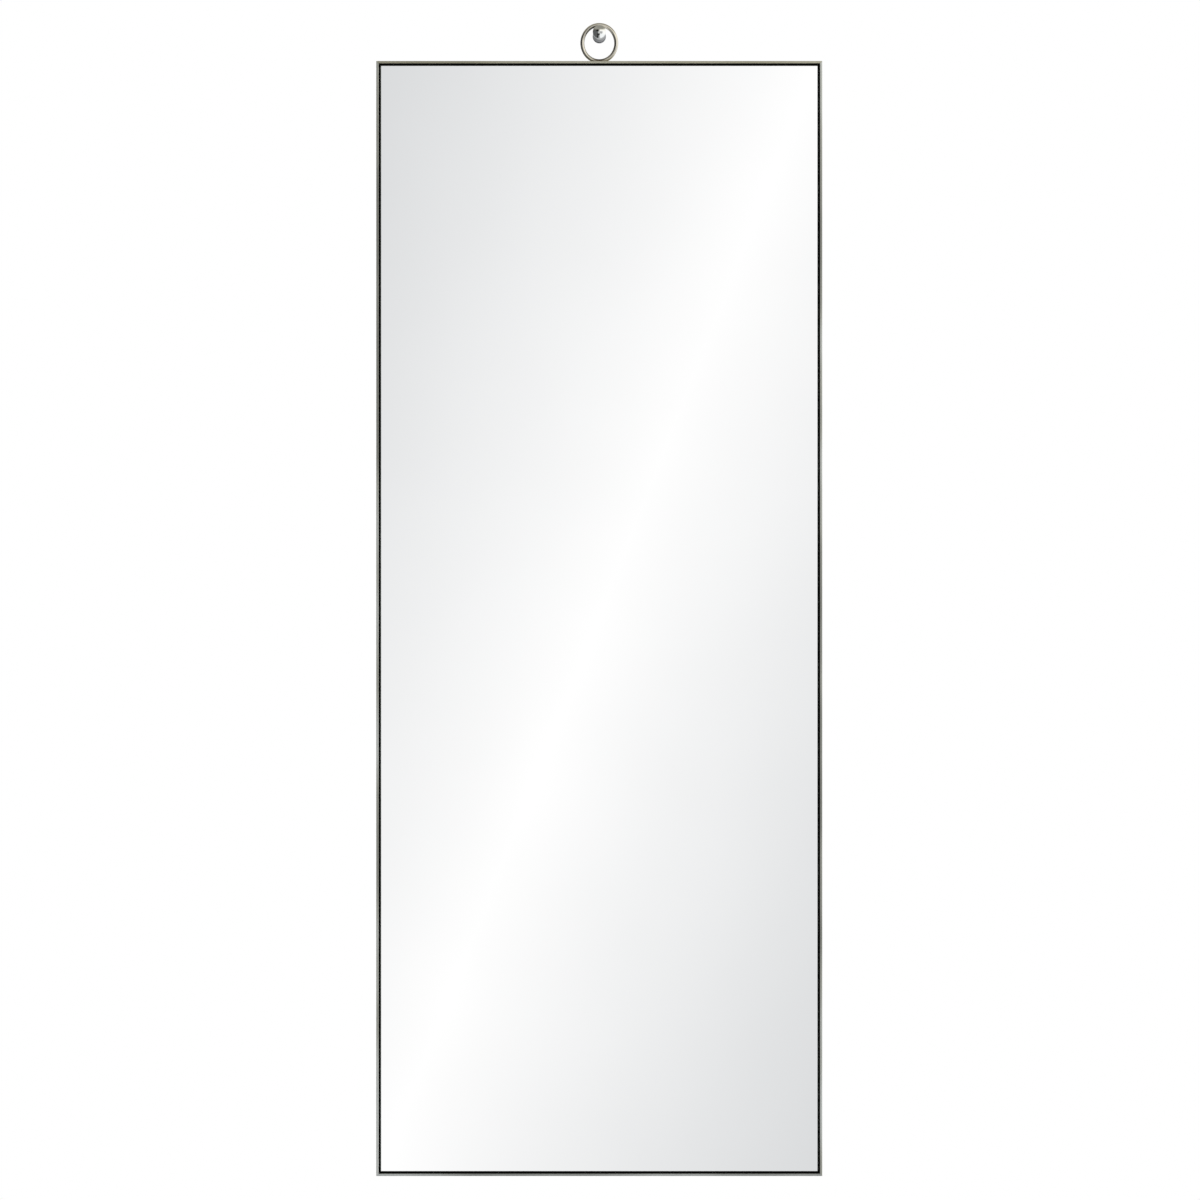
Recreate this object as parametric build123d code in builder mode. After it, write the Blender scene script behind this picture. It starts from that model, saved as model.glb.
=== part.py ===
"""A tall wall mirror in a slim metal frame, hung by a ring from a turned wall peg. Sizes are in millimetres.

+Z is up, +X is to the right of someone facing the mirror, and the mirror faces -Y. The wall is the plane
Y = 0, and the origin is the centre of the peg's back, where it meets the wall.
"""

import os
from math import acos, degrees, pi, sqrt

from build123d import *

# Frame: four flat bars on edge, mitred and welded
frame_width = 609.6
frame_height = 1524.0
frame_depth = 25.4
bar_thickness = 3.175
bar_edge_radius = 0.4
wall_gap = 9.5

# Glass, and the dark strip between its edge and the bars
glass_thickness = 4.0
glass_recess = 1.5
glass_arris = 0.9
reveal = 2.5
gasket_setback = 1.0
gasket_edge_radius = 0.5

# Backing board and the foam tape that bonds the glass to it
board_thickness = 9.0
board_clearance = 0.8
tape_thickness = 1.0
tape_width = 25.0
tape_end_inset = 66.0
tape_side_inset = 26.0
tape_count = 5

# Corner gussets and side tabs: flat plate, welded in behind the board
plate_thickness = 2.0
gusset_leg = 60.0
gusset_toe = 8.0
gusset_heel = 5.0
tab_width = 26.0
tab_reach = 18.0
tab_corner_radius = 4.0
tab_pitch = 300.0
tabs_per_side = 4
tab_hole_inset = 10.0

# Pan-head screws, and the clearance hole and pilot bore that each goes through
screw_diameter = 4.0
screw_head_diameter = 8.0
screw_head_height = 2.4
screw_head_chamfer = 0.9
screw_bite = 6.5
screw_tip_length = 2.0
screw_hole_clearance = 0.25
thread_clearance = 0.05
pilot_spare_depth = 0.5

# Rubber bumpers that hold the frame off the wall
bumper_base_diameter = 20.0
bumper_tip_diameter = 17.0
bumper_tip_chamfer = 1.2
bumper_floor = 3.0
bumper_recess_diameter = 9.6
bumper_inset = 18.0

# Hanging ring: round rod bent to an upright oval of four tangent arcs
ring_width = 52.0
ring_height = 55.2
ring_rod = 5.5
ring_end_radius = 22.5
ring_seat_depth = 0.5
hang_clearance = 0.3
weld_length = 16.0
weld_base_width = 8.4
weld_top_width = 6.0
weld_height = 1.8
weld_end_height = 0.5

# Turned peg: a rosette against the wall and a knob with a saddle neck
rosette_diameter = 18.2
rosette_thickness = 4.2
rosette_edge_radius = 0.8
rosette_hollow_diameter = 10.4
rosette_hollow_depth = 1.4
rosette_bore_clearance = 0.2
neck_diameter = 16.3
saddle_radius = 50.0
saddle_length = 15.0
collar_chamfer = 0.5
head_diameter = 17.8
head_band = 2.2
head_bevel = 1.5
head_crown_radius = 10.0

# Hanger bolt and the nylon plug that it is driven into
bolt_diameter = 6.0
bolt_grip = 12.0
bolt_end_chamfer = 0.6
bolt_waist_diameter = 5.2
bolt_waist_length = 2.0
bolt_wood_length = 30.0
bolt_point_length = 6.0
bolt_bore_spare = 1.0
plug_diameter = 8.0
plug_length = 40.0
plug_lip_diameter = 9.6
plug_lip_thickness = 0.8
plug_tip_chamfer = 0.6
plug_slit_width = 1.2
plug_solid_length = 24.0

# Levels in depth, from the wall out to the front
frame_back_y = -wall_gap
frame_front_y = frame_back_y - frame_depth
ring_y = frame_back_y - frame_depth / 2
glass_front_y = frame_front_y + glass_recess
glass_back_y = glass_front_y + glass_thickness
board_front_y = glass_back_y + tape_thickness
board_back_y = board_front_y + board_thickness
plate_back_y = board_back_y + plate_thickness

# Heights, from the peg down: the ring hangs on the neck and the frame hangs on the ring
neck_radius = neck_diameter / 2
ring_top_z = neck_radius + hang_clearance + ring_rod
ring_centre_z = ring_top_z - ring_height / 2
frame_top_z = ring_centre_z - ring_height / 2 + ring_seat_depth
frame_centre_z = frame_top_z - frame_height / 2

opening_width = frame_width - 2 * bar_thickness
opening_height = frame_height - 2 * bar_thickness
glass_width = opening_width - 2 * reveal
glass_height = opening_height - 2 * reveal
board_width = opening_width - 2 * board_clearance
board_height = opening_height - 2 * board_clearance

os.makedirs("parts", exist_ok=True)


def facing_front(y):
    """The plane across the mirror at depth y, centred on the frame, with its normal to the front."""
    return Plane(origin=(0, y, frame_centre_z), x_dir=(1, 0, 0), z_dir=(0, -1, 0))


def facing_wall(y):
    """The same plane turned round, with its normal to the wall."""
    return Plane(origin=(0, y, frame_centre_z), x_dir=(1, 0, 0), z_dir=(0, 1, 0))


def side_planes(y, width, height):
    """One plane for each side of a width by height rectangle, with local +Y pointing outwards."""
    turns = {"top": (0, height), "left": (90, width), "bottom": (180, height), "right": (270, width)}
    centre = facing_front(y).location
    return {side: Plane(centre * Rot(0, 0, turn) * Pos(0, span / 2)) for side, (turn, span) in turns.items()}


def mitred_strip(plane, length, thickness, depth, edge_radius):
    """A strip with 45 degree ends, its outer face on the plane's X axis and its front edges rounded."""
    with BuildPart() as strip:
        with BuildSketch(plane):
            with BuildLine():
                Polyline(
                    (-length / 2, 0),
                    (length / 2, 0),
                    (length / 2 - thickness, -thickness),
                    (thickness - length / 2, -thickness),
                    close=True,
                )
            make_face()
        extrude(amount=depth)
        front_face = strip.faces().sort_by(Axis.Y)[0]
        fillet(front_face.edges().filter_by(Axis((0, 0, 0), plane.x_dir)), radius=edge_radius)
    return strip.part


# The four bars of the frame
frame_planes = side_planes(frame_back_y, frame_width, frame_height)
for side, plane in frame_planes.items():
    bar_length = frame_width if side in ("top", "bottom") else frame_height
    frame_bar = mitred_strip(plane, bar_length, bar_thickness, frame_depth, bar_edge_radius)
    frame_bar.label = f"frame_{side}_bar"
    export_step(frame_bar, f"parts/frame_{side}_bar.step")

# The silvered glass, its front edge ground to a small arris
with BuildPart() as mirror_glass:
    with BuildSketch(facing_front(glass_back_y)):
        Rectangle(glass_width, glass_height)
    extrude(amount=glass_thickness)
    chamfer(mirror_glass.faces().sort_by(Axis.Y)[0].edges(), length=glass_arris)
mirror_glass.part.label = "mirror_glass"
export_step(mirror_glass.part, "parts/mirror_glass.step")

# The black strip round the glass, which seats on the board and fills the gap to the bars
gasket_depth = board_front_y - glass_front_y - gasket_setback
for side, plane in side_planes(board_front_y, opening_width, opening_height).items():
    strip_length = opening_width if side in ("top", "bottom") else opening_height
    gasket = mitred_strip(plane, strip_length, reveal, gasket_depth, gasket_edge_radius)
    gasket.label = f"gasket_{side}"
    export_step(gasket, f"parts/gasket_{side}.step")

# Upright strips of foam tape between the glass and the board, set in from the glass's edges
tape_pitch = (glass_width - 2 * tape_side_inset - tape_width) / (tape_count - 1)
with BuildPart() as mounting_tape:
    with BuildSketch(facing_front(board_front_y)):
        with GridLocations(tape_pitch, 0, tape_count, 1):
            Rectangle(tape_width, glass_height - 2 * tape_end_inset)
    extrude(amount=tape_thickness)
mounting_tape.part.label = "mounting_tape"
export_step(mounting_tape.part, "parts/mounting_tape.step")

# Where the plates sit: a plane in each rear corner of the frame, and the middles of the side tabs
corner_signs = {
    "upper_left": (-1, 1, (1, 0, 0)),
    "upper_right": (1, 1, (0, 0, -1)),
    "lower_right": (1, -1, (-1, 0, 0)),
    "lower_left": (-1, -1, (0, 0, 1)),
}


def corner_plane(corner, y):
    """The plane at an inner corner of the frame, both its axes along the bars and its normal to the wall."""
    sign_x, sign_z, along = corner_signs[corner]
    corner_point = (sign_x * opening_width / 2, y, frame_centre_z + sign_z * opening_height / 2)
    return Plane(origin=corner_point, x_dir=along, z_dir=(0, 1, 0))


tab_sides = side_planes(board_back_y, opening_width, opening_height)
tab_offsets = {side: [0.0] if side in ("top", "bottom") else [] for side in tab_sides}
for side in ("left", "right"):
    tab_offsets[side] = [(i - (tabs_per_side - 1) / 2) * tab_pitch for i in range(tabs_per_side)]
tab_planes = [
    Plane(tab_sides[side].location * Pos(offset, 0)) for side in tab_sides for offset in tab_offsets[side]
]
screw_radius = screw_diameter / 2
screw_hole_radius = screw_radius + screw_hole_clearance

# Gussets welded across the rear corners, their thin toes cut square and their heels clear of the weld
for corner in corner_signs:
    with BuildPart() as gusset:
        with BuildSketch(corner_plane(corner, board_back_y)):
            with BuildLine():
                Polyline(
                    (gusset_heel, 0),
                    (gusset_leg, 0),
                    (gusset_leg, gusset_toe),
                    (gusset_toe, gusset_leg),
                    (0, gusset_leg),
                    (0, gusset_heel),
                    close=True,
                )
            make_face()
            with Locations((bumper_inset, bumper_inset)):
                Circle(screw_hole_radius, mode=Mode.SUBTRACT)
        extrude(amount=plate_thickness)
    gusset.part.label = f"gusset_{corner}"
    export_step(gusset.part, f"parts/gusset_{corner}.step")

# Small tabs welded along the bars, each with a screw hole
with BuildPart() as backing_tabs:
    for plane in tab_planes:
        with BuildSketch(plane) as tab:
            with Locations((0, -tab_reach / 2)):
                Rectangle(tab_width, tab_reach)
            free_corners = [v for v in tab.vertices() if plane.to_local_coords(v.center()).Y < -tab_reach / 2]
            fillet(free_corners, radius=tab_corner_radius)
            with Locations((0, -tab_hole_inset)):
                Circle(screw_hole_radius, mode=Mode.SUBTRACT)
        extrude(amount=-plate_thickness)
backing_tabs.part.label = "backing_tabs"
export_step(backing_tabs.part, "parts/backing_tabs.step")

# Where each screw enters the board, with the normal back towards the wall
tab_screw_planes = [Plane(plane.location * Pos(0, -tab_hole_inset) * Rot(180, 0, 0)) for plane in tab_planes]
bumper_planes = {
    corner: Plane(corner_plane(corner, board_back_y).location * Pos(bumper_inset, bumper_inset))
    for corner in corner_signs
}

# The fibreboard panel, with a pilot bore for every screw
with BuildPart() as backing_board:
    with BuildSketch(facing_front(board_back_y)):
        Rectangle(board_width, board_height)
    extrude(amount=board_thickness)
    pilot_depth = screw_bite + pilot_spare_depth
    for plane in tab_screw_planes + list(bumper_planes.values()):
        with Locations(plane.location):
            Hole(screw_radius + thread_clearance, depth=pilot_depth)
backing_board.part.label = "backing_board"
export_step(backing_board.part, "parts/backing_board.step")


def pan_head_screw(grip):
    """A screw on the Z axis, its head above the plane Z = grip and its point below Z = 0."""
    with BuildPart() as screw:
        with BuildSketch(Plane.XZ):
            with BuildLine():
                Polyline(
                    (0, -screw_bite),
                    (screw_radius, screw_tip_length - screw_bite),
                    (screw_radius, grip),
                    (screw_head_diameter / 2, grip),
                    (screw_head_diameter / 2, grip + screw_head_height),
                    (0, grip + screw_head_height),
                    close=True,
                )
            make_face()
        revolve(axis=Axis.Z)
        chamfer(screw.edges().group_by(Axis.Z)[-1], length=screw_head_chamfer)
    return screw.part


# Screws through the tabs, and longer reach through the bumpers' floors
tab_screw = pan_head_screw(plate_thickness)
with BuildPart() as board_screws:
    with Locations([plane.location for plane in tab_screw_planes]):
        add(tab_screw)
board_screws.part.label = "board_screws"
export_step(board_screws.part, "parts/board_screws.step")

bumper_screw = pan_head_screw(plate_thickness + bumper_floor)
with BuildPart() as bumper_screws:
    with Locations([plane.location for plane in bumper_planes.values()]):
        add(bumper_screw)
bumper_screws.part.label = "bumper_screws"
export_step(bumper_screws.part, "parts/bumper_screws.step")

# Tapered rubber bumpers from the gussets to the wall, each with a recess for its screw
bumper_height = -plate_back_y
for corner, plane in bumper_planes.items():
    with BuildPart() as bumper:
        with BuildSketch(plane.offset(plate_thickness)):
            Circle(bumper_base_diameter / 2)
        with BuildSketch(plane.offset(plate_thickness + bumper_height)):
            Circle(bumper_tip_diameter / 2)
        loft()
        chamfer(bumper.edges().group_by(Axis.Y)[-1], length=bumper_tip_chamfer)
        with BuildSketch(plane.offset(plate_thickness + bumper_floor)):
            Circle(bumper_recess_diameter / 2)
        extrude(amount=bumper_height, mode=Mode.SUBTRACT)
        with BuildSketch(plane.offset(plate_thickness)):
            Circle(screw_hole_radius)
        extrude(amount=bumper_floor, mode=Mode.SUBTRACT)
    bumper.part.label = f"bumper_{corner}"
    export_step(bumper.part, f"parts/bumper_{corner}.step")

# The ring's centreline: end arcs at the top and bottom, tangent to flatter arcs at the sides
half_width = (ring_width - ring_rod) / 2
half_height = (ring_height - ring_rod) / 2
end_centre = half_height - ring_end_radius
ring_side_radius = (end_centre**2 + half_width**2 - ring_end_radius**2) / (2 * (half_width - ring_end_radius))
side_centre = ring_side_radius - half_width
side_half_angle = degrees(acos(side_centre / sqrt(side_centre**2 + end_centre**2)))
ring_plane = Plane(origin=(0, ring_y, ring_centre_z), x_dir=(1, 0, 0), z_dir=(0, -1, 0))

with BuildPart() as hanging_ring:
    with BuildLine(ring_plane) as ring_path:
        side_turn = 2 * side_half_angle
        end_turn = 180 - side_turn
        CenterArc((-side_centre, 0), ring_side_radius, -side_half_angle, side_turn)
        CenterArc((0, end_centre), ring_end_radius, side_half_angle, end_turn)
        CenterArc((side_centre, 0), ring_side_radius, 180 - side_half_angle, side_turn)
        CenterArc((0, -end_centre), ring_end_radius, 180 + side_half_angle, end_turn)
    with BuildSketch(Plane(origin=ring_path.line @ 0, z_dir=ring_path.line % 0)):
        Circle(ring_rod / 2)
    sweep()
    # The flat that seats on the top bar
    with BuildSketch(Plane.XY.offset(frame_top_z)):
        with Locations((0, ring_y)):
            Rectangle(ring_width, 2 * ring_rod)
    extrude(amount=-ring_rod, mode=Mode.SUBTRACT)
hanging_ring.part.label = "hanging_ring"
export_step(hanging_ring.part, "parts/hanging_ring.step")
full_rod = pi * (ring_rod / 2) ** 2 * ring_path.wires()[0].length
print("ring volume", round(hanging_ring.part.volume, 1), "of", round(full_rod, 1), "before the flat")

# The weld that beds the ring on the bar, wrapped round the rod's foot
with BuildPart() as ring_weld:
    with BuildSketch(Plane.YZ.offset(-weld_length / 2)):
        with BuildLine():
            Polyline(
                (ring_y - weld_base_width / 2, frame_top_z),
                (ring_y + weld_base_width / 2, frame_top_z),
                (ring_y + weld_top_width / 2, frame_top_z + weld_height),
                (ring_y - weld_top_width / 2, frame_top_z + weld_height),
                close=True,
            )
        make_face()
    extrude(amount=weld_length)
    with BuildSketch(Plane(origin=(0, ring_y - weld_base_width, 0), x_dir=(1, 0, 0), z_dir=(0, -1, 0))):
        with BuildLine():
            Line((-weld_length / 2, frame_top_z), (weld_length / 2, frame_top_z))
            Line((weld_length / 2, frame_top_z), (weld_length / 2, frame_top_z + weld_end_height))
            ThreePointArc(
                (weld_length / 2, frame_top_z + weld_end_height),
                (0, frame_top_z + weld_height),
                (-weld_length / 2, frame_top_z + weld_end_height),
            )
            Line((-weld_length / 2, frame_top_z + weld_end_height), (-weld_length / 2, frame_top_z))
        make_face()
    extrude(amount=-2 * weld_base_width, mode=Mode.INTERSECT)
    add(hanging_ring.part, mode=Mode.SUBTRACT)
ring_weld.part.label = "ring_weld"
export_step(ring_weld.part, "parts/ring_weld.step")

# The peg's rosette, hollow behind so that it sits flat over the plug's lip
bolt_radius = bolt_diameter / 2
wall_plane = Plane(origin=(0, 0, 0), x_dir=(1, 0, 0), z_dir=(0, 1, 0))
with BuildPart() as peg_rosette:
    with BuildSketch(wall_plane):
        Circle(rosette_diameter / 2)
        Circle(bolt_radius + rosette_bore_clearance, mode=Mode.SUBTRACT)
    extrude(amount=-rosette_thickness)
    fillet(peg_rosette.edges().group_by(Axis.Y)[0].sort_by(SortBy.LENGTH)[-1], radius=rosette_edge_radius)
    with BuildSketch(wall_plane):
        Circle(rosette_hollow_diameter / 2)
    extrude(amount=-rosette_hollow_depth, mode=Mode.SUBTRACT)
peg_rosette.part.label = "peg_rosette"
export_step(peg_rosette.part, "parts/peg_rosette.step")

# The knob: a collar, the saddle neck that the ring rests in, and a crowned head that keeps the ring on
saddle_back_y = ring_y + saddle_length / 2
saddle_front_y = ring_y - saddle_length / 2
saddle_edge_radius = neck_radius + saddle_radius - sqrt(saddle_radius**2 - (saddle_length / 2) ** 2)
crown_edge_radius = head_diameter / 2 - head_bevel
crown_rise = head_crown_radius - sqrt(head_crown_radius**2 - crown_edge_radius**2)
crown_edge_y = saddle_front_y - head_band - head_bevel
crown_mid_radius = crown_edge_radius / 2
crown_mid_rise = sqrt(head_crown_radius**2 - crown_mid_radius**2) - head_crown_radius + crown_rise

with BuildPart() as peg_knob:
    with BuildSketch(Plane.XY):
        with BuildLine():
            Polyline(
                (0, crown_edge_y - crown_rise),
                (0, -rosette_thickness),
                (saddle_edge_radius - collar_chamfer, -rosette_thickness),
                (saddle_edge_radius, -rosette_thickness - collar_chamfer),
                (saddle_edge_radius, saddle_back_y),
            )
            ThreePointArc(
                (saddle_edge_radius, saddle_back_y), (neck_radius, ring_y), (saddle_edge_radius, saddle_front_y)
            )
            Polyline(
                (saddle_edge_radius, saddle_front_y),
                (head_diameter / 2, saddle_front_y),
                (head_diameter / 2, saddle_front_y - head_band),
                (crown_edge_radius, crown_edge_y),
            )
            ThreePointArc(
                (crown_edge_radius, crown_edge_y),
                (crown_mid_radius, crown_edge_y - crown_mid_rise),
                (0, crown_edge_y - crown_rise),
            )
        make_face()
    revolve(axis=Axis.Y)
    with Locations(wall_plane.offset(-rosette_thickness).location):
        Hole(bolt_radius + thread_clearance, depth=bolt_grip + bolt_bore_spare)
peg_knob.part.label = "peg_knob"
export_step(peg_knob.part, "parts/peg_knob.step")

# The hanger bolt: a machine thread into the knob, a plain waist at the wall and a wood thread behind it
bolt_front_y = -rosette_thickness - bolt_grip
with BuildPart() as hanger_bolt:
    with BuildSketch(Plane.XY):
        with BuildLine():
            Polyline(
                (0, bolt_front_y),
                (bolt_radius - bolt_end_chamfer, bolt_front_y),
                (bolt_radius, bolt_front_y + bolt_end_chamfer),
                (bolt_radius, -bolt_waist_length),
                (bolt_waist_diameter / 2, -bolt_waist_length),
                (bolt_waist_diameter / 2, 0),
                (bolt_radius, 0),
                (bolt_radius, bolt_wood_length - bolt_point_length),
                (0, bolt_wood_length),
                close=True,
            )
        make_face()
    revolve(axis=Axis.Y)
hanger_bolt.part.label = "hanger_bolt"
export_step(hanger_bolt.part, "parts/hanger_bolt.step")

# The nylon plug, lipped at the wall face and slit behind so that it spreads
with BuildPart() as wall_plug:
    with BuildSketch(wall_plane):
        Circle(plug_diameter / 2)
    extrude(amount=plug_length)
    chamfer(wall_plug.edges().group_by(Axis.Y)[-1], length=plug_tip_chamfer)
    with BuildSketch(wall_plane):
        Circle(plug_lip_diameter / 2)
    extrude(amount=-plug_lip_thickness)
    with BuildSketch(wall_plane.offset(-plug_lip_thickness)):
        Circle(bolt_radius + thread_clearance)
    extrude(amount=plug_length + plug_lip_thickness, mode=Mode.SUBTRACT)
    with BuildSketch(wall_plane.offset(plug_solid_length)):
        Rectangle(plug_diameter, plug_slit_width)
    extrude(amount=plug_length, mode=Mode.SUBTRACT)
wall_plug.part.label = "wall_plug"
export_step(wall_plug.part, "parts/wall_plug.step")
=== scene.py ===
# %% [markdown]
# A tall mirror in a thin nickel-plated frame hangs by a ring from a turned peg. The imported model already
# holds every piece at its real size, so this lesson dresses it: it finds a finish for each piece, makes the
# few forms that are finer than the solids, and lights the whole as a plain studio would.

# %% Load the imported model
import math

import bmesh
import bpy
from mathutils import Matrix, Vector


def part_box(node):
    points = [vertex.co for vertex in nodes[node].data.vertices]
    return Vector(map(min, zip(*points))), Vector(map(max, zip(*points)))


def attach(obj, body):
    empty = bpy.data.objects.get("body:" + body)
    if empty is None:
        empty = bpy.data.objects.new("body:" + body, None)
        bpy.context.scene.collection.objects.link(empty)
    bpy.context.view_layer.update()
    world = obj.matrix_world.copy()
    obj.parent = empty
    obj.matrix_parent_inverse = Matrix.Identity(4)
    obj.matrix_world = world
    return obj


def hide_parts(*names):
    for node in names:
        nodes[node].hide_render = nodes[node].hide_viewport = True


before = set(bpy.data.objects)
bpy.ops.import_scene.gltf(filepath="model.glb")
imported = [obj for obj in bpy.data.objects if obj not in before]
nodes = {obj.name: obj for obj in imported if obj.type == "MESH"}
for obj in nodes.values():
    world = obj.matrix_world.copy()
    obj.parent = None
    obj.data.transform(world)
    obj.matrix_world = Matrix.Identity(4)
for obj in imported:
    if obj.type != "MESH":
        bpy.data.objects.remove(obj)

MM = 0.001
scene = bpy.context.scene
scene.view_settings.view_transform = "Standard"
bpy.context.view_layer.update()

# %% [markdown]
# Blender's shaders work in linear light, and a colour given here is an sRGB hex value, so one function turns
# one into the other. A second small function adds a node with its settings and its links, which keeps each
# finish below down to what is special about it.

# %% Colour and node helpers
BUMP_STRENGTH = 0.3


def linear(hex_colour):
    """An sRGB hex colour such as 8F8B7C as linear RGBA."""
    parts = [int(hex_colour[i : i + 2], 16) / 255 for i in (0, 2, 4)]
    return [p / 12.92 if p <= 0.04045 else ((p + 0.055) / 1.055) ** 2.4 for p in parts] + [1.0]


def add(tree, kind, inputs=None, **settings):
    """Adds a node. An input's value is a number, a colour or an output socket to link from."""
    node = tree.nodes.new(kind)
    for name, value in settings.items():
        setattr(node, name, value)
    for key, value in (inputs or {}).items():
        socket = node.inputs[key]
        if isinstance(value, bpy.types.NodeSocket):
            tree.links.new(value, socket)
        else:
            socket.default_value = value
    return node


def calc(tree, operation, a, b=0.0):
    """One step of arithmetic on numbers or output sockets."""
    return add(tree, "ShaderNodeMath", {0: a, 1: b}, operation=operation).outputs[0]


def step(tree, value, start, end, low=0.0, high=1.0):
    """A soft step from low, before start, to high, after end."""
    inputs = {"Value": value, "From Min": start, "From Max": end, "To Min": low, "To Max": high}
    return add(tree, "ShaderNodeMapRange", inputs, interpolation_type="SMOOTHSTEP").outputs["Result"]


def ramp(tree, factor, stops):
    """A colour ramp from a list of (position, hex colour) or (position, grey value) stops."""
    node = add(tree, "ShaderNodeValToRGB", {"Fac": factor})
    elements = node.color_ramp.elements
    while len(elements) < len(stops):
        elements.new(0.5)
    for element, (position, colour) in zip(elements, stops):
        element.position = position
        element.color = linear(colour) if isinstance(colour, str) else (colour, colour, colour, 1)
    return node.outputs["Color"]


def mix_colours(tree, factor, a, b, blend_type="MIX"):
    """Colour a where the factor is 0 and colour b where it is 1."""
    node = add(tree, "ShaderNodeMix", {"Factor": factor, 6: a, 7: b}, data_type="RGBA", blend_type=blend_type)
    return node.outputs[2]


def noise(tree, vector, size, detail=2.0):
    """Noise whose blotches are about the given size in metres."""
    inputs = {"Vector": vector, "Scale": 1 / size, "Detail": detail}
    return add(tree, "ShaderNodeTexNoise", inputs).outputs["Fac"]


def new_material(name, **shader_values):
    """A material, its tree and its Principled shader, with plain values set on the shader's own sockets."""
    material = bpy.data.materials.new(name)
    material.use_nodes = True
    tree = material.node_tree
    shader = tree.nodes["Principled BSDF"]
    for key, value in shader_values.items():
        shader.inputs[key.replace("_", " ").title().replace("Ior", "IOR")].default_value = value
    return material, tree, shader


def place(tree, stretch=(1, 1, 1)):
    """Object coordinates in metres, squeezed along the axes where a pattern runs long."""
    coordinates = add(tree, "ShaderNodeTexCoord").outputs["Object"]
    return add(tree, "ShaderNodeMapping", {"Vector": coordinates, "Scale": stretch}).outputs["Vector"]


def surface(tree, shader, colour, rough, height=None, depth=0.0):
    """Links a colour, a roughness and a relief of the given depth in metres to the shader."""
    tree.links.new(colour, shader.inputs["Base Color"])
    tree.links.new(rough, shader.inputs["Roughness"])
    if height is not None:
        bump = add(tree, "ShaderNodeBump", {"Height": height, "Strength": BUMP_STRENGTH, "Distance": depth})
        tree.links.new(bump.outputs["Normal"], shader.inputs["Normal"])


def dress(material, *names):
    """Gives CAD nodes their finish by filling their material slots."""
    for name in names:
        slots = nodes[name].data.materials
        slots.clear()
        slots.append(material)
    print(material.name, "on", ", ".join(names))


print("grey 808080 is", round(linear("808080")[0], 3), "in linear light")

# %% [markdown]
# The frame is flat steel strip, nickel plated, then brushed. A belt drags its grit along each bar, so the
# lines are hair-thin across and run on for centimetres, and a highlight spreads across them. Noise squeezed
# hard along one axis draws such lines, which are coarser here than the real 0.1 mm so that they still show.
# The plate was darkened before it was brushed, so its tone drifts in patches a hand's span long. The bars get
# three copies of this plate whose tones are painted reflection: the top one is painted warm and the bottom
# one cool, as a warm ceiling and a cool floor would reflect, and the uprights are painted lighter to make up
# for the dark room they reflect.

# %% Brushed nickel plate
BRUSH_LINE_WIDTH = 0.4 * MM
BRUSH_LINE_LENGTH = 70 * MM
PATCH_LENGTH = 240 * MM


def brushed_nickel(name, along, dark, middle, light):
    """Brushed plate whose lines run along X (0), Y (1) or Z (2), in three tones of the darkened coat."""
    material, tree, shader = new_material(name, metallic=1.0)
    stretch = [1 / BRUSH_LINE_WIDTH] * 3
    stretch[along] = 1 / BRUSH_LINE_LENGTH
    lines = noise(tree, place(tree, stretch), 1.0, 3.0)
    patches = noise(tree, place(tree), PATCH_LENGTH)
    tone = ramp(tree, patches, [(0.38, dark), (0.5, middle), (0.62, light)])
    streaks = ramp(tree, lines, [(0.3, 0.82), (0.7, 1.0)])
    colour = mix_colours(tree, 1.0, tone, streaks, "MULTIPLY")
    surface(tree, shader, colour, step(tree, lines, 0.3, 0.7, 0.26, 0.42), height=lines, depth=0.02 * MM)
    return material


# Painted reflection: three tones of one plate, warm on the top bar, cool on the bottom bar and lighter on the
# uprights.
top_plate_painted_warm = brushed_nickel("brushed nickel plate, top, painted warm reflection", 0, "989581", "B2AE98", "C4C1AF")
bottom_plate_painted_cool = brushed_nickel("brushed nickel plate, bottom, painted cool reflection", 0, "999B97", "B1B3AF", "C6C9C6")
upright_plate_painted_light = brushed_nickel("brushed nickel plate, upright, painted lighter", 2, "9A9A92", "BCBCB2", "D8DAD5")
dress(top_plate_painted_warm, "frame_top_bar")
dress(bottom_plate_painted_cool, "frame_bottom_bar")
dress(upright_plate_painted_light, "frame_left_bar", "frame_right_bar")

# %% [markdown]
# The ring is round rod with the same darkened plate, but it was rubbed smooth by hand once it was welded on,
# so it shines more than the bars and mirrors the room as one dark and one bright line. Around its foot, where
# it meets the bar, shade is painted into its colour as a dark brown: a soft step in the distance from the
# foot puts it there.

# %% Rubbed nickel rod
ring_low, ring_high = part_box("hanging_ring")
foot = Vector((0, (ring_low.y + ring_high.y) / 2, ring_low.z))
FOOT_SHADE_START = 3 * MM
FOOT_SHADE_REACH = 13 * MM
RUB_SIZE = 3 * MM
COAT_PATCH_SIZE = 20 * MM


def rubbed_nickel():
    """Smooth plated rod with painted shade, darker towards the foot that is welded to the frame."""
    material, tree, shader = new_material("rubbed nickel rod", metallic=1.0)
    position = place(tree)
    apart = add(tree, "ShaderNodeVectorMath", {0: position, 1: foot}, operation="DISTANCE")
    off_foot = step(tree, apart.outputs["Value"], FOOT_SHADE_START, FOOT_SHADE_REACH)
    rubs = noise(tree, position, RUB_SIZE, 3.0)
    tone = ramp(tree, noise(tree, position, COAT_PATCH_SIZE), [(0.3, "C2BCAE"), (0.7, "D6D1C5")])
    # Painted shade: the rod's colour turns dark brown near the foot, where it meets the bar.
    colour = mix_colours(tree, off_foot, linear("55493A"), tone)
    surface(tree, shader, colour, step(tree, rubs, 0.3, 0.7, 0.07, 0.12), height=rubs, depth=0.004 * MM)
    return material


dress(rubbed_nickel(), "hanging_ring")

# %% [markdown]
# The bead round the foot is weld metal under the same dark coat. It was never brushed, so it is rough, and
# its scale stays brown. Small patches in its colour and relief are enough for a bead under 2 mm high.

# %% Coated weld metal
WELD_SCALE_SIZE = 1.2 * MM


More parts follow.
